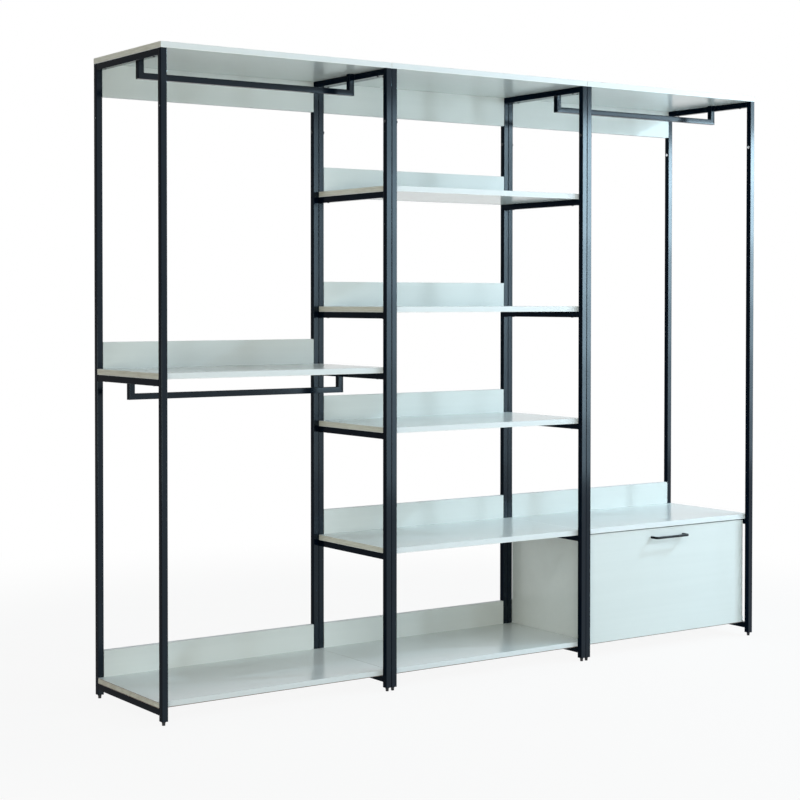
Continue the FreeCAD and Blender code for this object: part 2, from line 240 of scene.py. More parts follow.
@dataclass(frozen=True)
class Patches:
    """Cloudy patches: their size, how far they are spread, and their height as bumps."""

    size: float
    detail: float = 2.0
    grows: Pair = (0.35, 0.75)
    stretch: Triple | None = None
    height: float = 0.0

    def noise(self, graph: Graph) -> Wire:
        """Add the plain noise.

        Args:
            graph: The material's graph.

        Returns:
            Values about 0.5.
        """
        at = graph.stretched(self.stretch) if self.stretch else graph.places()
        inputs = {"Vector": at, "Scale": 1.0 / self.size, "Detail": self.detail}
        return graph.node("ShaderNodeTexNoise", {}, inputs)

    def spread(self, graph: Graph) -> Wire:
        """Return 0 between the patches and 1 on them."""
        return self.noise(graph).rise(*self.grows)

    def bumps(self, graph: Graph, under: Wire | None = None) -> Wire:
        """Turn the patches into bumps.

        Args:
            graph: The material's graph.
            under: A normal to start from.

        Returns:
            The bumped normal.
        """
        inputs = {"Height": self.noise(graph), "Distance": self.height}
        if under is not None:
            inputs["Normal"] = under
        return graph.node("ShaderNodeBump", {}, inputs)


@dataclass(frozen=True)
class Finish:
    """A material that is built once and then shared."""

    name: str

    def fill(self, graph: Graph) -> None:
        """Add the finish's nodes."""
        raise NotImplementedError

    @cache
    def material(self) -> bpy.types.Material:
        """Build the material.

        Returns:
            The material, the same one at every call.
        """
        made = bpy.data.materials.new(self.name)
        made.use_nodes = True
        self.fill(Graph(made.node_tree))
        return made


@dataclass(frozen=True)
class BoardFinish(Finish):
    """Glossy white melamine with edge banding round the board."""

    thickness: Axis = Axis.Z
    face: Colour = (0.795, 0.828, 0.808)
    shade: Colour = (0.770, 0.805, 0.785)
    band: Colour = (0.850, 0.880, 0.890)
    end: Colour = (0.860, 0.850, 0.740)
    end_line: Colour = (0.500, 0.450, 0.340)
    # Painted highlight: a pale line along the lower part of the banded edges.
    lower_edge_highlight: Colour = (0.920, 0.930, 0.910)
    # Dark line: darkens the lower part of a low board's edges, the top of its cut ends and the bottom
    # of the drawer front.
    dark_line: Colour = (0.130, 0.060, 0.035)
    dark_line_share: float = 0.0
    foot_share: float = 0.0
    gloss: float = 0.34
    roughness: float = 0.14
    edge_roughness: float = 0.2
    unevenness: float = 0.06
    turned: Pair = (0.45, 0.8)
    grain: Patches = Patches(1.1 * MM, 3.0, height=0.01 * MM)
    waves: Patches = Patches(160.0 * MM, 1.0, height=0.08 * MM)
    cloud: Patches = Patches(350.0 * MM, 3.0, (0.35, 0.7))
    streaks: Patches = Patches(22.0 * MM, 3.0, (0.35, 0.65), (0.02, 1.0, 1.0))
    band_cloud: Patches = Patches(20.0 * MM, 4.0)
    chips: Patches = Patches(4.0 * MM, 4.0, (0.35, 0.8), (1.0, 0.08, 1.0))
    worn: Patches = Patches(30.0 * MM, 3.0, (0.3, 0.7))
    band_cloud_share: float = 0.3
    wear_share: float = 0.4
    lower_seam: Triple = (0.17, 0.035, 0.45)
    upper_seam: Triple = (0.70, 0.05, 0.4)
    upper_dark_line: Triple = (0.95, 0.07, 0.8)
    lower_edge_highlight_fade: Triple = (0.10, 0.15, 0.8)
    dark_line_fade: float = 0.03
    dark_line_strength: float = 0.95
    foot_fade: float = 1.3
    foot_strength: float = 0.85

    def cut_end(self, graph: Graph, across: Wire) -> Wire:
        """Colour the cut ends: chips and seams, and a dark line near their top on a low board.

        Args:
            graph: The material's graph.
            across: The place across the thickness, from 0 to 1.

        Returns:
            The ends' colour.
        """
        end = graph.blend(self.chips.spread(graph) * self.wear_share, self.end, self.end_line)
        seams = across.stripe(*self.lower_seam) + across.stripe(*self.upper_seam)
        end = graph.blend(seams, end, self.end_line)
        if self.dark_line_share > 0.0:
            end = graph.blend(self.worn.spread(graph) * self.wear_share, end, self.end_line)
            # A dark line near the top of the cut ends.
            end = graph.blend(across.stripe(*self.upper_dark_line), end, self.dark_line)
        return end

    def fill(self, graph: Graph) -> None:
        """Add faint clouding and streaks, a fine grain, and banded edges.

        Args:
            graph: The material's graph.
        """
        cloud = self.cloud.noise(graph)
        streaks = self.streaks.noise(graph)
        shading = cloud.rise(*self.cloud.grows) * 0.5 + streaks.rise(*self.streaks.grows) * 0.5
        face = graph.blend(shading, self.face, self.shade)
        across = graph.share_across(self.thickness)
        edge = 1.0 - graph.facing(self.thickness).rise(*self.turned)
        band = graph.blend(self.band_cloud.noise(graph) * self.band_cloud_share, self.band, self.shade)
        if self.thickness is Axis.Z:
            ends = graph.facing(Axis.X).rise(*self.turned)
            band = graph.blend(ends, band, self.cut_end(graph, across))
            # Painted highlight: the lower part of the edges is made paler.
            band = graph.blend(across.fade(*self.lower_edge_highlight_fade), band, self.lower_edge_highlight)
        # A dark line along the lower part of the edges.
        low = self.dark_line_share
        if low > 0.0:
            dark_line = across.fade(low, low + self.dark_line_fade, self.dark_line_strength)
            band = graph.blend(dark_line, band, self.dark_line)
        # A thin dark line along the bottom of the face.
        low = self.foot_share
        if low > 0.0:
            foot = graph.share_across(Axis.Z).fade(low, low * self.foot_fade, self.foot_strength)
            face = graph.blend(foot, face, self.dark_line)
        uneven = cloud * self.unevenness + streaks * self.unevenness
        graph.surface(
            {
                "Base Color": graph.blend(edge, face, band),
                "Roughness": self.roughness + uneven + edge * self.edge_roughness,
                "Specular IOR Level": self.gloss,
                "Normal": self.grain.bumps(graph, self.waves.bumps(graph)),
            }
        )


@dataclass(frozen=True)
class PaintFinish(Finish):
    """Blue-black smooth powder coat."""

    colour: Colour = (0.0006, 0.0036, 0.0100)
    thin: Colour = (0.0016, 0.0058, 0.0130)
    roughness: float = 0.13
    gloss: float = 0.31
    # Painted shade: the reflection level on the X sides.
    shaded_side_gloss: float = 0.02
    turned: Pair = (0.5, 0.8)
    tint: Colour = (0.74, 0.91, 1.0)
    waves: Patches = Patches(60.0 * MM, 1.0, height=0.012 * MM)
    cloud: Patches = Patches(90.0 * MM, 2.0, (0.4, 0.75))
    unevenness: float = 0.03
    specks: Patches = Patches(3.5 * MM, 2.0, (0.66, 0.80))
    speck_share: float = 0.4

    def fill(self, graph: Graph) -> None:
        """Add the coat's slow waves, clouding and small paler specks; the X sides get a copy with a
        weaker reflection, as painted shade.

        Args:
            graph: The material's graph.
        """
        cloud = self.cloud.noise(graph)
        colour = graph.blend(cloud.rise(*self.cloud.grows), self.colour, self.thin)
        sockets = {
            "Base Color": graph.blend(self.specks.spread(graph) * self.speck_share, colour, self.thin),
            "Roughness": self.roughness + (cloud - 0.5) * self.unevenness,
            "Specular IOR Level": self.gloss,
            "Specular Tint": (*self.tint, 1.0),
            "Normal": self.waves.bumps(graph),
        }
        # Painted shade: a copy of the coat with a weaker reflection is mixed onto the X sides.
        dull = {**sockets, "Specular IOR Level": self.shaded_side_gloss}
        shaders = [graph.node("ShaderNodeBsdfPrincipled", {}, chosen) for chosen in (sockets, dull)]
        shaded_sides = graph.facing(Axis.X).rise(*self.turned)
        mixed = graph.node("ShaderNodeMixShader", {}, {0: shaded_sides, 1: shaders[0], 2: shaders[1]})
        graph.node("ShaderNodeOutputMaterial", {}, {"Surface": mixed})


@dataclass(frozen=True)
class PlasticFinish(Finish):
    """Black moulded plastic with a matt texture."""

    colour: Colour = (0.012, 0.013, 0.015)
    scuffed: Colour = (0.05, 0.052, 0.055)
    roughness: float = 0.5
    gloss: float = 0.4
    texture: Patches = Patches(0.6 * MM, height=0.04 * MM)
    scuffs: Patches = Patches(6.0 * MM, 5.0, (0.55, 0.8))
    scuff_share: float = 0.3
    scuff_roughness: float = 0.18

    def fill(self, graph: Graph) -> None:
        """Add moulded texture and scuffs.

        Args:
            graph: The material's graph.
        """
        scuffs = self.scuffs.spread(graph)
        graph.surface(
            {
                "Base Color": graph.blend(scuffs * self.scuff_share, self.colour, self.scuffed),
                "Roughness": self.roughness + scuffs * self.scuff_roughness,
                "Specular IOR Level": self.gloss,
                "Normal": self.texture.bumps(graph),
            }
        )


@dataclass(frozen=True)
class SteelFinish(Finish):
    """Bare or plated steel with rolling marks along Y."""

    colour: Colour = (0.62, 0.63, 0.64)
    dull: Colour = (0.44, 0.45, 0.47)
    roughness: float = 0.3
    marks: Patches = Patches(0.6 * MM, 3.0, stretch=(1.0, 0.02, 1.0), height=0.01 * MM)
    marks_unevenness: float = 0.18
    cloud: Patches = Patches(12.0 * MM, 4.0)
    cloud_unevenness: float = 0.1

    def fill(self, graph: Graph) -> None:
        """Add rolling marks and a cloudy plating.

        Args:
            graph: The material's graph.
        """
        marks = self.marks.noise(graph) - 0.5
        cloud = self.cloud.noise(graph)
        uneven = marks * self.marks_unevenness + (cloud - 0.5) * self.cloud_unevenness
        graph.surface(
            {
                "Base Color": graph.blend(cloud.rise(*self.cloud.grows), self.colour, self.dull),
                "Metallic": 1.0,
                "Roughness": self.roughness + uneven,
                "Normal": self.marks.bumps(graph),
            }
        )


UPRIGHT_BOARD = BoardFinish("white_board_upright", Axis.X)
STANDING_BOARD = BoardFinish("white_board_standing", Axis.Y, gloss=0.07, roughness=0.13)
FLAT_BOARD = BoardFinish("white_board_flat")
LOW_BOARD = BoardFinish("white_board_low", dark_line_share=0.10)
FRONT_BOARD = BoardFinish("white_board_front", Axis.Y, foot_share=0.005)
BOX_BOARD = BoardFinish("drawer_box_white", Axis.X)
FRAME_COAT = PaintFinish("frame_powder_coat")
ROD_COAT = PaintFinish("rod_powder_coat", roughness=0.16)
HANDLE_COAT = PaintFinish("handle_satin_black", (0.006, 0.006, 0.007), (0.011, 0.011, 0.012), 0.4)
MOULDED = PlasticFinish("black_moulded_plastic")
RUBBER = PlasticFinish("grey_bumper_rubber", (0.11, 0.112, 0.115))
ZINC = SteelFinish("sleeve_bright_zinc", (0.90, 0.91, 0.92), (0.80, 0.81, 0.83), 0.35)
RUNNER_ZINC = SteelFinish("runner_rolled_zinc")
BALL_CHROME = SteelFinish("ball_polished_steel", (0.78, 0.79, 0.8), (0.7, 0.71, 0.73), 0.12)
BLACK_OXIDE = SteelFinish("screw_black_oxide", (0.035, 0.036, 0.039), (0.06, 0.062, 0.066), 0.38)
PANEL_SCREW = SteelFinish("screw_nickel", (0.56, 0.57, 0.58), (0.42, 0.43, 0.44))


@dataclass(frozen=True)
class Loop:
    """A closed outline about an axis, given by its distance at each direction."""

    reach: Callable[[float], float]
    height: float

    @classmethod
    def round(cls, radius: float, height: float) -> "Loop":
        """Return a circle."""
        return cls(lambda _: radius, height)

    @classmethod
    def hexagon(cls, width: float, height: float, limit: float = 1.0) -> "Loop":
        """Return a hexagon, with its corners cut at a distance.

        Args:
            width: Width across the flats.
            height: Place along the axis.
            limit: The most that a corner may reach.

        Returns:
            The outline.
        """

        def reach(degrees: float) -> float:
            """Return the hexagon's distance at a direction."""
            turn = math.radians(degrees % SIXTH_TURN - SIXTH_TURN / 2)
            return min(limit, width / 2 / math.cos(turn))

        return cls(reach, height)

    @classmethod
    def cross(cls, arm: float, half_width: float, height: float) -> "Loop":
        """Return the outline of a cross recess.

        Args:
            arm: How far an arm reaches.
            half_width: Half of an arm's width.
            height: Place along the axis.

        Returns:
            The outline.
        """

        def reach(degrees: float) -> float:
            """Return the cross's distance at a direction."""
            turned = degrees % QUARTER_TURN
            turn = math.radians(min(turned, QUARTER_TURN - turned))
            return min(arm / math.cos(turn), half_width / max(math.sin(turn), TINY))

        return cls(reach, height)

    def points(self, place: Matrix) -> list[Vector]:
        """Return the outline's points.

        Args:
            place: Where the outline's axis stands.

        Returns:
            The points in the model.
        """
        found = []
        for step in range(OUTLINE_POINTS):
            degrees = FULL_TURN * step / OUTLINE_POINTS
            turn = math.radians(degrees)
            far = self.reach(degrees)
            found.append(place @ Vector((far * math.cos(turn), far * math.sin(turn), self.height)))
        return found


def rings(profile: Profile, base: float = 0.0) -> list[Loop]:
    """Return a circle for each radius and height in millimetres, counted from a base in metres."""
    return [Loop.round(radius * MM, base + up * MM) for radius, up in profile]


def middle(low: Vector, high: Vector, **chosen: float) -> Vector:
    """Return the middle of a box, with the chosen x, y or z in place of its own."""
    found = (low + high) / 2
    return Vector([chosen.get(part, getattr(found, part)) for part in "xyz"])


def standing_at(place: Vector, direction: Vector) -> Matrix:
    """Return a matrix that puts the Z axis at a place and along a direction."""
    return Matrix.Translation(place) @ direction.to_track_quat("Z", "Y").to_matrix().to_4x4()


@dataclass
class Mould:
    """Gathers the faces of one piece and makes its object."""

    name: str
    points: list[Vector] = field(default_factory=list)
    faces: list[tuple[int, ...]] = field(default_factory=list)

    def skin(self, outlines: Sequence[Sequence[Vector]], ringed: bool = False) -> None:
        """Join closed outlines one after another.

        Args:
            outlines: Outlines with the same number of points.
            ringed: Whether the last outline joins the first; otherwise both ends are closed.
        """
        start = len(self.points)
        count = len(outlines[0])
        rows = len(outlines)
        for outline in outlines:
            self.points.extend(outline)
        for row in range(rows if ringed else rows - 1):
            here = start + row * count
            there = start + (row + 1) % rows * count
            for step in range(count):
                after = (step + 1) % count
                self.faces.append((here + step, here + after, there + after, there + step))
        if not ringed:
            last = start + (rows - 1) * count
            self.faces.append(tuple(reversed(range(start, start + count))))
            self.faces.append(tuple(range(last, last + count)))

    def turn(self, loops: Sequence[Loop], place: Matrix, ringed: bool = False) -> None:
        """Join outlines that stand about one axis."""
        self.skin([loop.points(place) for loop in loops], ringed)

    def ball(self, centre: Vector, radius: float) -> None:
        """Add a ball.

        Args:
            centre: The ball's centre.
            radius: Its radius.
        """
        loops = []
        for degrees in range(-BALL_TOP, BALL_TOP + 1, BALL_STEP):
            slope = math.radians(degrees)
            loops.append(Loop.round(radius * math.cos(slope), radius * math.sin(slope)))
        self.turn(loops, Matrix.Translation(centre))

    def piece(self, finish: Finish, body: Body, replaced: str = "") -> None:
        """Make the piece's object.

        Args:
            finish: Its finish.
            body: The body that it moves with.
            replaced: The node that it stands for, if any.
        """
        mesh = bpy.data.meshes.new(self.name)
        mesh.from_pydata(self.points, [], self.faces)
        mesh.validate()
        mesh.shade_smooth()
        mesh.set_sharp_from_angle(angle=math.radians(SHARP_ANGLE))
        mesh.materials.append(finish.material())
        made = bpy.data.objects.new(self.name, mesh)
        bpy.context.scene.collection.objects.link(made)
        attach(made, body.value)
        if replaced:
            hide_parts(replaced)
        LOG.info("%s: %d faces", self.name, len(mesh.polygons))


def dress(node: str, finish: Finish) -> None:
    """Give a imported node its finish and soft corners.

    Args:
        node: The node's name.
        finish: Its finish.
    """
    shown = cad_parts[node]
    shown.data.materials.clear()
    shown.data.materials.append(finish.material())
    weld = shown.modifiers.new("weld", "WELD")
    weld.merge_threshold = TINY
    split = shown.modifiers.new("split", "EDGE_SPLIT")
    split.split_angle = math.radians(SPLIT_ANGLE)
    normals = shown.modifiers.new("normals", "WEIGHTED_NORMAL")
    normals.weight = FACE_WEIGHT
    LOG.info("%s: %s", node, finish.name)


def solid_boxes(node: str) -> list[tuple[Vector, Vector]]:
    """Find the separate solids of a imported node.

    Args:
        node: The node's name.

    Returns:
        Lowest and highest corner of each solid.
    """
    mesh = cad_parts[node].data
    keys = [tuple(round(part, PLACE_DIGITS) for part in vertex.co) for vertex in mesh.vertices]
    parents = {key: key for key in keys}

    def root(key: Triple) -> Triple:
        """Return the key that stands for a solid."""
        while parents[key] != key:
            parents[key] = parents[parents[key]]
            key = parents[key]
        return key

    for polygon in mesh.polygons:
        first = root(keys[polygon.vertices[0]])
        for index in polygon.vertices[1:]:
            parents[root(keys[index])] = first
    groups: dict[Triple, list[Triple]] = {}
    for key in parents:
        groups.setdefault(root(key), []).append(key)
    boxes = []
    for members in groups.values():
        low, high = (Vector([choose(parts) for parts in zip(*members)]) for choose in (min, max))
        boxes.append((low, high))
    return sorted(boxes, key=lambda box: tuple(box[0]))


@dataclass(frozen=True)
class ScrewHead:
    """Pan head with a cross recess."""

    radius: float = 4.0 * MM
    height: float = 2.3 * MM
    recess: float = 1.3 * MM
    arm: float = 0.56
    half_arm: float = 0.13
    floor: Pair = (0.62, 0.7)
    rim: float = 0.995
    dome: Profile = ((0.68, 0.97), (0.86, 0.8), (0.96, 0.55), (1.0, 0.25), (0.98, 0.0))

    def add(self, mould: Mould, place: Vector, direction: Vector) -> None:
        """Add a head to a mould.

        Args:
            mould: The piece that it belongs to.
            place: Centre of the head's underside.
            direction: Where the head looks.
        """
        arm = self.radius * self.arm
        half = self.radius * self.half_arm
        shorter, narrower = self.floor
        loops = [
            Loop.cross(arm * shorter, half * narrower, self.height - self.recess),
            Loop.cross(arm, half, self.height * self.rim),
        ]
        loops += [Loop.round(self.radius * out, self.height * up) for out, up in self.dome]
        mould.turn(loops, standing_at(place, direction))


@dataclass(frozen=True)
class WeldBead:
    """Rippled bead of weld along a corner."""

    leg: float = 1.7 * MM
    ripple: float = 1.3 * MM
    bury: float = 0.3 * MM
    slices: int = 4
    tip: float = 0.45
    growth: float = 6.0
    swell: float = 0.10
    flatness: float = 0.13
    section: tuple[int, ...] = (0, 22, 45, 68, 90)

    def add(self, mould: Mould, start: Vector, end: Vector, along: Vector, up: Vector) -> None:
        """Add a bead to a mould.

        Args:
            mould: The piece that it belongs to.
            start: One end of the corner.
            end: The other end.
            along: Direction away from the corner on one face.
            up: Direction away from the corner on the other face.
        """
        length = (end - start).length
        steps = max(int(length / (self.ripple / self.slices)), self.slices)
        corner = -self.bury * (along + up)
        outlines = []
        for step in range(steps + 1):
            share = step / steps
            taper = min(1.0, self.tip + self.growth * min(share, 1.0 - share))
            wave = 1.0 + self.swell * math.sin(2 * math.pi * length * share / self.ripple)
            size = self.leg * taper * wave
            root = start.lerp(end, share) + corner
            outline = [root]
            for degrees in self.section:
                turn = math.radians(degrees)
                far = size * (1.0 - self.flatness * math.sin(2 * turn)) + self.bury
                outline.append(root + along * far * math.cos(turn) + up * far * math.sin(turn))
            outlines.append(outline)
        mould.skin(outlines)


@dataclass
class SideFrames:
    """Six welded ladders of square tube with their feet and joining bolts."""

    names: Names = tuple(f"{bay}_bay_{side}_frame" for bay in BAYS for side in SIDES)
    post: float = 20.0 * MM
    rail: float = 20.0 * MM
    screw_inset: float = 42.0 * MM
    margin: float = 2.5 * MM
    bead: WeldBead = WeldBead()
    screw: ScrewHead = ScrewHead(4.0 * MM, 1.3 * MM, 0.9 * MM)
    foot: Profile = (
        (3.6, 0.0), (4.5, 0.12), (4.9, 0.5), (5.0, 1.0), (5.0, 2.2), (4.75, 2.5), (4.8, 3.0),
        (5.55, 9.2), (5.95, 9.5), (6.0, 10.0), (6.0, 11.6), (5.8, 11.98), (2.9, 12.0), (2.9, 23.0),
    )
    eyelet: Profile = (
        (3.15, -1.4), (3.15, 0.1), (3.45, 0.42), (4.4, 0.40),
        (4.75, 0.2), (4.8, 0.0), (3.27, 0.0), (3.27, -1.4),
    )
    bolt_tip: float = 2.3
    thread_ridges: int = 8
    thread_start: float = 0.35
    half_pitch: float = 0.45
    thread_radii: Pair = (2.62, 3.0)
    head_height: float = 3.3
    bolt_head: Profile = (
        (3.0, 0.0), (5.05, 0.0), (5.25, 0.25), (5.1, 1.1), (4.6, 2.1),
        (3.9, 2.9), (3.4, 3.22), (2.75, 3.3),
    )
    socket_width: float = 4.0
    socket_levels: Pair = (3.1, 1.3)
    nut_width: float = 10.0
    nut_bore: Profile = ((3.05, 0.3), (3.5, 0.0))
    nut_corners: Profile = ((4.95, 0.0), (5.4, 0.35), (6.0, 0.7), (6.0, 4.3), (5.4, 4.65), (4.95, 5.0))
    nut_far_bore: Profile = ((3.5, 5.0), (3.05, 4.7))

    def rail_levels(self, name: str) -> list[float]:
        """Return the heights of the boards that a frame carries.

        Args:
            name: The frame's name.

        Returns:
            The upper side of each rail.
        """
        bay = name.split("_")[0]
        between = {"left": (HALF_SHELF,), "middle": SHELVES, "right": (UNIT_TOP,)}
        boards = (f"{bay}_bay_bottom_board", *between[bay], f"{bay}_bay_top_board")
        return [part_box(board)[0].z for board in boards]

    def dress(self) -> None:
        """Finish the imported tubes, plugs and sleeves."""
        for name in self.names:
            dress(name, FRAME_COAT)
        dress("post_end_plugs", MOULDED)
        for node in ("outer_joining_sleeves", "inner_joining_sleeves"):
            dress(node, ZINC)

    def build_welds(self, name: str) -> None:
        """Build the beads under one frame's rails and on their inner side.

        Args:
            name: The frame's name.
        """
        low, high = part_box(name)
        mould = Mould(name + "_welds")
        for level in self.rail_levels(name):
            under = level - self.rail
            for y, away in ((low.y + self.post, 1), (high.y - self.post, -1)):
                start = Vector((low.x + self.margin, y, under))
                end = Vector((high.x - self.margin, y, under))
                self.bead.add(mould, start, end, Vector((0, away, 0)), DOWNWARDS)
        mould.piece(FRAME_COAT, Body.CLOSET)

    def build_rail_screws(self, name: str) -> None:
        """Build the screws that go up through one frame's rails into the boards.

        Args:
            name: The frame's name.
        """
        low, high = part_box(name)
        mould = Mould(name + "_screws")
        for level in self.rail_levels(name):
            for y in (low.y + self.post + self.screw_inset, high.y - self.post - self.screw_inset):
                self.screw.add(mould, middle(low, high, y=y, z=level - self.rail), DOWNWARDS)
        mould.piece(BLACK_OXIDE, Body.CLOSET)

    def build_feet(self) -> None:
        """Build the twelve moulded glides."""
        mould = Mould("foot_glides_moulded")
        for low, high in solid_boxes("foot_glides"):
            mould.turn(rings(self.foot), Matrix.Translation(middle(low, high, z=low.z)))
        mould.piece(MOULDED, Body.CLOSET, "foot_glides")

    def build_eyelets(self) -> None:
        """Build the bright rims of the open joining holes, on the bays' inner sides."""
        mould = Mould("joining_hole_eyelets")
        for low, high in solid_boxes("outer_joining_sleeves"):
            centre = middle(low, high)
            inward = Vector((-1 if centre.x > 0 else 1, 0, 0))
            place = standing_at(centre + inward * self.post / 2, inward)
            mould.turn(rings(self.eyelet), place, ringed=True)
        mould.piece(ZINC, Body.CLOSET)

    def thread(self) -> list[Loop]:
        """Return the outlines of a bolt's tip and thread."""
        radii = self.thread_radii * self.thread_ridges
        levels = [self.thread_start + self.half_pitch * step for step in range(len(radii))]
        return rings(((self.bolt_tip, 0.0), *zip(radii, levels)))

    def build_bolts(self) -> None:
        """Build the bolts that join neighbouring frames."""
        mould = Mould("joining_bolts_threaded")
        for low, high in solid_boxes("joining_bolts"):
            head = high.x - low.x - self.head_height * MM
            loops = self.thread() + rings(self.bolt_head, head)
            for level in self.socket_levels:
                loops.append(Loop.hexagon(self.socket_width * MM, head + level * MM))
            mould.turn(loops, standing_at(middle(low, high, x=high.x), Vector((-1, 0, 0))))
        mould.piece(BLACK_OXIDE, Body.CLOSET, "joining_bolts")

    def build_nuts(self) -> None:
        """Build the nuts on those bolts."""
        mould = Mould("joining_nuts_chamfered")
        width = self.nut_width * MM
        outer = [Loop.hexagon(width, up * MM, limit * MM) for limit, up in self.nut_corners]
        loops = rings(self.nut_bore) + outer + rings(self.nut_far_bore)
        for low, high in solid_boxes("joining_nuts"):
            mould.turn(loops, standing_at(middle(low, high, x=low.x), Vector((1, 0, 0))))
        mould.piece(BLACK_OXIDE, Body.CLOSET, "joining_nuts")

    def build(self) -> None:
        """Finish the nodes and add the small pieces."""
        self.dress()
        for name in self.names:
            self.build_welds(name)
            self.build_rail_screws(name)
        self.build_feet()
        self.build_eyelets()
        self.build_bolts()
        self.build_nuts()


@dataclass
class Boards:
    """Top boards, shelves, upstands and the drawer unit's panels."""

    flat: Names = (*(f"{bay}_bay_top_board" for bay in BAYS), HALF_SHELF, *SHELVES, UNIT_TOP)
    low: Names = tuple(f"{bay}_bay_bottom_board" for bay in BAYS)
    aprons: Names = tuple(f"{bay}_bay_top_apron" for bay in BAYS)
    upstands: Names = tuple(
        [f"{bay}_bay_bottom_upstand" for bay in BAYS]
        + [f"{name}_upstand" for name in (HALF_SHELF, *SHELVES, "drawer_unit")]
    )
    panels: Names = tuple(f"drawer_unit_{side}_panel" for side in SIDES)
    screw: ScrewHead = ScrewHead(3.4 * MM, 1.9 * MM, 1.1 * MM)
    screw_count: int = 4
    screw_rise: float = 9.0 * MM

    def build_upstand_screws(self) -> None:
        """Build the screws behind the upstands that hold them to the shelves."""
        mould = Mould("upstand_screws")
        for name in self.upstands:
            low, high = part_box(name)
            for number in range(self.screw_count):
                share = (number + 0.5) / self.screw_count
                place = Vector((low.x + (high.x - low.x) * share, high.y, low.z + self.screw_rise))
                self.screw.add(mould, place, BACKWARDS)
        mould.piece(PANEL_SCREW, Body.CLOSET)

    def build(self) -> None:
        """Finish every board and add the screws."""
        for names, finish in (
            (self.flat, FLAT_BOARD),
            (self.low, LOW_BOARD),
            (self.aprons + self.upstands, STANDING_BOARD),
            (self.panels, UPRIGHT_BOARD),
        ):
            for name in names:
                dress(name, finish)
        self.build_upstand_screws()


@dataclass
class HangingRods:
    """Rods with a drop at each end."""

    names: Names = ("left_bay_upper_rod", "left_bay_lower_rod", "right_bay_rod")
    rail: float = 20.0 * MM
    margin: float = 2.0 * MM
    bead: WeldBead = WeldBead(1.4 * MM)

    def build(self) -> None:
        """Finish the rods and add the beads that fix their drops to the rails."""
        for name in self.names:
            dress(name, ROD_COAT)
            low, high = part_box(name)
            mould = Mould(name + "_welds")
            for x, inward in ((low.x, 1), (high.x, -1)):
                for y, outward in ((low.y, -1), (high.y, 1)):
                    start = Vector((x, y, high.z - self.rail + self.margin))
                    end = Vector((x, y, high.z - self.margin))
                    self.bead.add(mould, start, end, Vector((inward, 0, 0)), Vector((0, outward, 0)))
            mould.piece(ROD_COAT, Body.CLOSET)


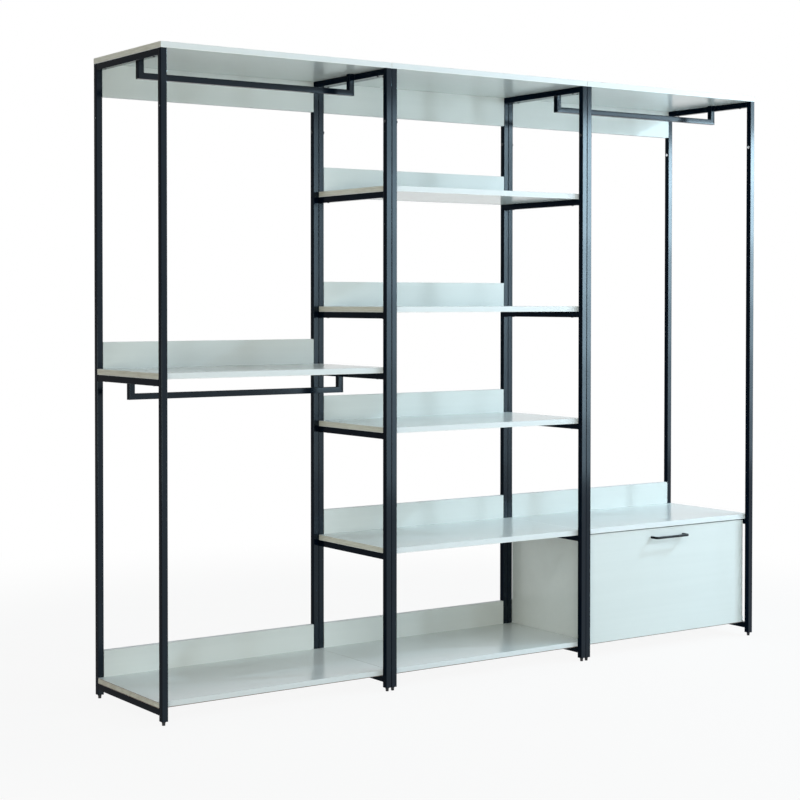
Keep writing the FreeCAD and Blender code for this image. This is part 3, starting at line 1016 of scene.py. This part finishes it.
@dataclass
class Drawer:
    """Drawer front, box and handle."""

    bar: float = 8.0 * MM
    corner: float = 1.3 * MM
    bend: float = 7.0 * MM
    screw: ScrewHead = ScrewHead(3.6 * MM, 2.0 * MM, 1.2 * MM)
    box_screw: ScrewHead = ScrewHead(3.2 * MM, 1.2 * MM, 0.8 * MM)
    box_screw_shares: tuple[float, ...] = (0.14, 0.8, 0.93)
    corner_angles: tuple[int, ...] = (0, 30, 60, 90)
    bend_steps: int = 8
    bumper: Profile = ((4.0, 0.0), (4.0, 0.7), (3.6, 1.2), (2.6, 1.5))
    bumper_inset: float = 9.0 * MM
    bumper_rise: float = 60.0 * MM
    bumper_drop: float = 30.0 * MM

    def bar_outline(self, place: Vector, side: Vector) -> list[Vector]:
        """Return the handle's section at a place.

        Args:
            place: The middle of the bar.
            side: Direction across the bar, level.

        Returns:
            The section's points.
        """
        inset = self.bar / 2 - self.corner
        found = []
        for quarter in range(4):
            start = math.radians(QUARTER_TURN * (quarter + 0.5))
            for degrees in self.corner_angles:
                turn = math.radians(QUARTER_TURN * quarter + degrees)
                across = inset * math.copysign(1, math.cos(start)) + self.corner * math.cos(turn)
                rise = inset * math.copysign(1, math.sin(start)) + self.corner * math.sin(turn)
                found.append(place + side * across + Vector((0, 0, rise)))
        return found

    def build_handle(self) -> None:
        """Build the bow handle with rounded edges and bends."""
        low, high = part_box("drawer_handle")
        z = (low.z + high.z) / 2
        half = self.bar / 2
        reach = half + self.bend
        stops: list[tuple[Vector, Vector]] = [(Vector((low.x + half, high.y, z)), Vector((1, 0, 0)))]
        for centre_x, first in ((low.x + reach, 2 * QUARTER_TURN), (high.x - reach, 3 * QUARTER_TURN)):
            centre = Vector((centre_x, low.y + reach, z))
            for step in range(self.bend_steps + 1):
                turn = math.radians(first + QUARTER_TURN * step / self.bend_steps)
                outward = Vector((math.cos(turn), math.sin(turn), 0))
                stops.append((centre + outward * self.bend, -outward))
        stops.append((Vector((high.x - half, high.y, z)), Vector((-1, 0, 0))))
        mould = Mould("drawer_handle_bow")
        mould.skin([self.bar_outline(place, side) for place, side in stops])
        mould.piece(HANDLE_COAT, Body.DRAWER, "drawer_handle")

    def build_front_fittings(self) -> None:
        """Build the handle's screws and the bumpers behind the drawer front."""
        low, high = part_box("drawer_handle")
        front_low, front_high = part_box("drawer_front")
        back = front_high.y
        screws = Mould("handle_screws")
        for x in (low.x + self.bar / 2, high.x - self.bar / 2):
            self.screw.add(screws, middle(low, high, x=x, y=back), BACKWARDS)
        screws.piece(PANEL_SCREW, Body.DRAWER)
        bumpers = Mould("drawer_bumpers")
        for x in (front_low.x + self.bumper_inset, front_high.x - self.bumper_inset):
            for z in (front_low.z + self.bumper_rise, front_high.z - self.bumper_drop):
                bumpers.turn(rings(self.bumper), standing_at(Vector((x, back, z)), BACKWARDS))
        bumpers.piece(RUBBER, Body.DRAWER)

    def build_box_screws(self) -> None:
        """Build the screws at the box's rear corners."""
        mould = Mould("drawer_box_screws")
        low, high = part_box("drawer_back")
        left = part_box("drawer_left_side")[0].x
        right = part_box("drawer_right_side")[1].x
        for x, outward in ((left, -1), (right, 1)):
            for share in self.box_screw_shares:
                place = middle(low, high, x=x, z=low.z + (high.z - low.z) * share)
                self.box_screw.add(mould, place, Vector((outward, 0, 0)))
        mould.piece(PANEL_SCREW, Body.DRAWER)

    def build(self) -> None:
        """Finish the boards and add the handle and the small pieces."""
        dress("drawer_front", FRONT_BOARD)
        for name in ("drawer_left_side", "drawer_right_side", "drawer_back", "drawer_bottom"):
            dress(name, BOX_BOARD)
        self.build_handle()
        self.build_front_fittings()
        self.build_box_screws()


@dataclass
class Runners:
    """Two ball-bearing runners."""

    ball_radius: float = 1.8 * MM
    steel: float = 1.2 * MM
    screw: ScrewHead = ScrewHead(3.6 * MM, 1.3 * MM, 0.9 * MM)
    screw_shares: tuple[float, ...] = (0.08, 0.5, 0.92)

    def build_balls(self) -> None:
        """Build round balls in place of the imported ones."""
        for node, body in (
            ("runner_outer_balls", Body.OUTER_CAGES),
            ("runner_inner_balls", Body.INNER_CAGES),
        ):
            mould = Mould(node + "_polished")
            for low, high in solid_boxes(node):
                mould.ball(middle(low, high), self.ball_radius)
            mould.piece(BALL_CHROME, body, node)

    def build_screws(self) -> None:
        """Build the flat screws that hold the drawer members to the box."""
        mould = Mould("runner_screws")
        for side, inward in (("left", -1), ("right", 1)):
            low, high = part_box(side + "_runner_drawer_member")
            x = high.x - self.steel if side == "left" else low.x + self.steel
            for share in self.screw_shares:
                place = middle(low, high, x=x, y=low.y + (high.y - low.y) * share)
                self.screw.add(mould, place, Vector((inward, 0, 0)))
        mould.piece(PANEL_SCREW, Body.DRAWER)

    def build(self) -> None:
        """Finish the members and cages and add balls and screws."""
        for side in SIDES:
            for member in ("cabinet", "middle", "drawer"):
                dress(f"{side}_runner_{member}_member", RUNNER_ZINC)
        for node in ("runner_outer_cages", "runner_inner_cages"):
            dress(node, RUNNER_ZINC)
        self.build_balls()
        self.build_screws()


@dataclass(frozen=True)
class Lamp:
    """A flat soft lamp."""

    name: str
    place: Triple
    target: Triple
    size: Pair
    level: float
    colour: Colour

    def build(self) -> None:
        """Build the lamp so that a face at its target is lit at its level."""
        towards = Vector(self.place) - Vector(self.target)
        data = bpy.data.lights.new(self.name, "AREA")
        data.shape = "RECTANGLE"
        data.size, data.size_y = self.size
        data.color = self.colour
        data.energy = self.level * (math.pi * towards.length) ** 2
        lamp = bpy.data.objects.new(self.name, data)
        lamp.location = self.place
        lamp.visible_camera = False
        lamp.rotation_euler = towards.to_track_quat("Z", "Y").to_euler()
        bpy.context.scene.collection.objects.link(lamp)


@dataclass(frozen=True)
class Window:
    """A tall narrow light whose rows get brighter towards the top."""

    name: str
    x: float
    width: float
    target_x: float
    rows: tuple[float, ...]
    y: float = -2.4
    top: float = 2.14
    row_height: float = 0.3
    target_y: float = -0.2
    colour: Colour = (0.74, 0.90, 1.0)

    def build(self) -> None:
        """Build one lamp for each row of the given brightness."""
        for number, brightness in enumerate(self.rows):
            z = self.top - (number + 0.5) * self.row_height
            place = (self.x, self.y, z)
            target = (self.target_x, self.target_y, z)
            area = self.width * self.row_height
            level = brightness * area / math.pi / (Vector(place) - Vector(target)).length_squared
            name = f"{self.name}_{number}"
            Lamp(name, place, target, (self.width, self.row_height), level, self.colour).build()


DAYLIGHT: Colour = (0.60, 0.84, 1.0)
LAMPS = (
    Lamp("key_light", (3.05, -1.32, 2.67), (0.81, -0.20, 0.39), (0.08, 0.08), 0.35, DAYLIGHT),
    Lamp("side_light", (3.65, -0.66, 2.52), (0.85, -0.20, 0.40), (0.16, 0.16), 0.20, DAYLIGHT),
    Lamp("front_light", (-4.2, -4.6, 0.6), (0.0, 0.0, 0.6), (3.0, 1.0), 0.19, (1.0, 1.0, 0.88)),
    Lamp("low_light", (-0.35, -2.6, 0.45), (-0.3, 0.0, 0.55), (0.3, 0.4), 0.03, (0.86, 0.96, 1.0)),
    Lamp("high_light", (-1.2, -3.0, 3.2), (-0.2, 0.0, 0.9), (0.8, 0.8), 0.15, (0.90, 0.98, 1.0)),
    Lamp("back_light", (-0.9, 4.2, 2.5), (0.0, 0.0, 0.8), (3.4, 2.0), 0.19, (0.86, 0.95, 1.0)),
    Lamp("above_light", (0.0, 0.0, 4.6), (0.0, 0.0, 1.97), (2.4, 0.4), 0.30, (0.94, 0.98, 1.0)),
)
WINDOWS = (
    Window("right_window", 3.64, 0.34, 1.2, (37.0, 28.0, 15.0, 9.0, 5.0, 3.0)),
    Window("middle_window", 2.31, 0.21, 0.4, (28.0, 27.0, 20.0, 16.0, 10.0, 5.0)),
    Window("left_window", 1.10, 0.26, -0.4, (6.0, 8.4, 7.0, 4.8, 3.2, 2.4)),
    Window("top_window", 3.05, 0.9, 0.8, (8.0,), top=2.34, row_height=0.2),
)


@dataclass
class Studio:
    """Camera at the photograph's viewpoint, floor, lamps and background."""

    eye: Triple = (-3.56145, -4.64304, 1.22829)
    pitch: float = -0.0197
    yaw: float = 0.5951
    lens: float = 78.0
    shift: Pair = (0.0625, -0.0810)
    lamps: tuple[Lamp | Window, ...] = LAMPS + WINDOWS
    sky_colour: Colour = (1.0, 1.0, 0.94)
    sky_level: float = 0.175
    floor_size: float = 30.0
    floor_paint: Colour = (0.64, 0.64, 0.62)
    floor_shade: Colour = (0.62, 0.62, 0.60)
    floor_cloud: Patches = Patches(0.4, 3.0)
    floor_fade: Pair = (1.6, 3.2)
    floor_glow: float = 0.91

    def build_camera(self) -> None:
        """Build the camera."""
        data = bpy.data.cameras.new("photo_camera")
        data.lens = self.lens
        data.shift_x, data.shift_y = self.shift
        camera = bpy.data.objects.new("photo_camera", data)
        camera.location = self.eye
        camera.rotation_euler = (math.pi / 2 + self.pitch, 0.0, -self.yaw)
        bpy.context.scene.collection.objects.link(camera)
        bpy.context.scene.camera = camera

    def background_rays(self, graph: Graph) -> Wire:
        """Return 1 for the rays that show the background itself."""
        found = None
        for output in ("Is Camera Ray", "Is Glossy Ray", "Is Transmission Ray"):
            ray = graph.node("ShaderNodeLightPath", {}, {}, output)
            found = ray if found is None else graph.maths("MAXIMUM", found, ray)
        return found

    def build_sky(self) -> None:
        """Build a world that is white to look at and plain to be lit by."""
        world = bpy.data.worlds.new("studio_white")
        world.use_nodes = True
        graph = Graph(world.node_tree)
        seen = self.background_rays(graph)
        lit = tuple(part * self.sky_level for part in self.sky_colour)
        colour = graph.blend(seen, lit, WHITE)
        sky = graph.node("ShaderNodeBackground", {}, {"Color": colour, "Strength": 1.0})
        graph.node("ShaderNodeOutputWorld", {}, {"Surface": sky})
        bpy.context.scene.world = world

    def build_floor(self) -> None:
        """Build a pale floor that fades to white away from the closet."""
        half = self.floor_size / 2
        mesh = bpy.data.meshes.new("studio_floor")
        corners = [(-half, -half, 0.0), (half, -half, 0.0), (half, half, 0.0), (-half, half, 0.0)]
        mesh.from_pydata(corners, [], [(0, 1, 2, 3)])
        material = bpy.data.materials.new("floor_white")
        material.use_nodes = True
        graph = Graph(material.node_tree)
        cloud = self.floor_cloud.noise(graph)
        colour = graph.blend(cloud, self.floor_paint, self.floor_shade)
        paint = graph.node("ShaderNodeBsdfDiffuse", {}, {"Color": colour})
        glow = graph.node("ShaderNodeEmission", {}, {"Color": (*WHITE, 1.0), "Strength": 1.0})
        seen = self.background_rays(graph)
        far = graph.node("ShaderNodeVectorMath", {"operation": "LENGTH"}, {0: graph.places()}, "Value")
        share = seen * (self.floor_glow + (1.0 - self.floor_glow) * far.rise(*self.floor_fade))
        mixed = graph.node("ShaderNodeMixShader", {}, {0: share, 1: paint, 2: glow})
        graph.node("ShaderNodeOutputMaterial", {}, {"Surface": mixed})
        mesh.materials.append(material)
        floor = bpy.data.objects.new("studio_floor", mesh)
        bpy.context.scene.collection.objects.link(floor)

    def build(self) -> None:
        """Build the studio and set plain colours."""
        bpy.context.scene.view_settings.view_transform = "Standard"
        self.build_camera()
        for lamp in self.lamps:
            lamp.build()
        self.build_sky()
        self.build_floor()


def main() -> None:
    """Build every sub-assembly in order."""
    logging.basicConfig(level=logging.INFO, format="%(name)s %(message)s")
    for part in (Studio(), SideFrames(), Boards(), HangingRods(), Drawer(), Runners()):
        LOG.info("building %s", type(part).__name__)
        part.build()


if __name__ == "__main__":
    main()
